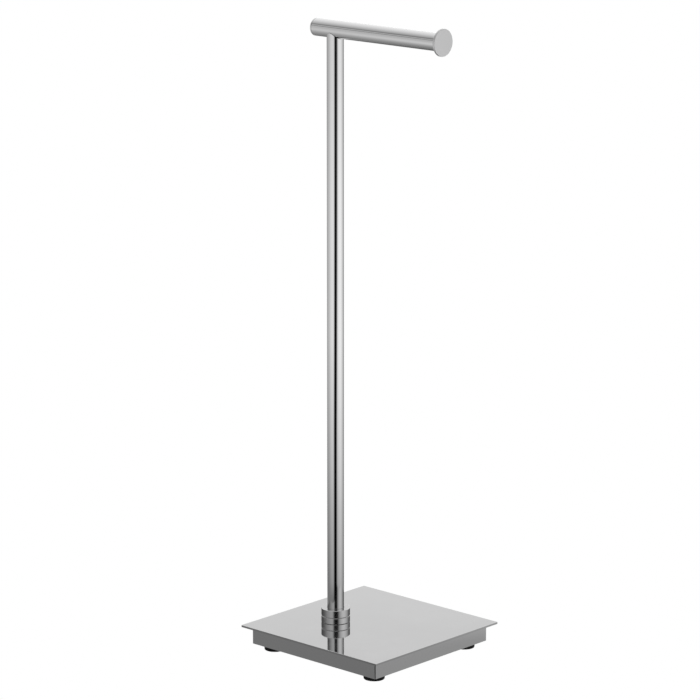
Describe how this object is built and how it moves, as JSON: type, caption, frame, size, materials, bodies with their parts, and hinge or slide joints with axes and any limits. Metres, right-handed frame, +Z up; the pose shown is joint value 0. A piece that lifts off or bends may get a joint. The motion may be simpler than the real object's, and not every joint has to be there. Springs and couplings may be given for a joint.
{
  "type": "free-standing toilet roll holder",
  "caption": "Free-standing toilet roll holder: weighted square base on rubber feet, tall round post on a swivelling collar, and a horizontal arm ending in a disc.",
  "frame": {"origin": "on the floor under the middle of the whole holder's box, which is 9.1 mm towards the arm's disc end from the middle of the square plate", "axes": "+Z up the post, +X along the arm from the post towards its end disc, +Y across the base"},
  "size_m": [0.2182, 0.2, 0.7001],
  "materials": {
    "polished_plate": "mirror-polished stainless steel",
    "polished_tube": "polished stainless steel tube",
    "satin_skirt": "satin stainless steel strip",
    "foot_rubber": "black moulded rubber",
    "cast_iron": "raw casting, oiled",
    "cover_paint": "black powder coat",
    "zinc_steel": "zinc-plated steel",
    "spring_steel": "blackened spring steel",
    "washer_nylon": "black nylon"
  },
  "bodies": {
    "base": {"top_plate": "polished_plate", "skirt_front": "satin_skirt", "skirt_back": "satin_skirt", "skirt_left": "satin_skirt", "skirt_right": "satin_skirt", "lower_collar": "polished_tube", "ballast": "cast_iron", "bottom_cover": "cover_paint", "base_washer": "zinc_steel", "spring_washer": "spring_steel", "swivel_washer": "washer_nylon", "foot_front_left": "foot_rubber", "foot_screw_front_left": "zinc_steel", "foot_front_right": "foot_rubber", "foot_screw_front_right": "zinc_steel", "foot_back_left": "foot_rubber", "foot_screw_back_left": "zinc_steel", "foot_back_right": "foot_rubber", "foot_screw_back_right": "zinc_steel"},
    "post_and_arm": {"upper_collar": "polished_tube", "post_tube": "polished_tube", "post_bottom_plug": "zinc_steel", "post_top_plug": "zinc_steel", "base_bolt": "zinc_steel", "arm_tube": "polished_tube", "arm_rear_cap": "polished_tube", "end_plug": "zinc_steel", "end_disc": "polished_plate", "arm_screw": "zinc_steel", "saddle_washer": "zinc_steel"}
  },
  "joints": [
    {"name": "post_swivel", "type": "hinge", "parent": "base", "child": "post_and_arm", "pos_m": [-0.0436, -0.0179, 0.0353], "axis": [0, 0, 1], "continuous": true}
  ]
}
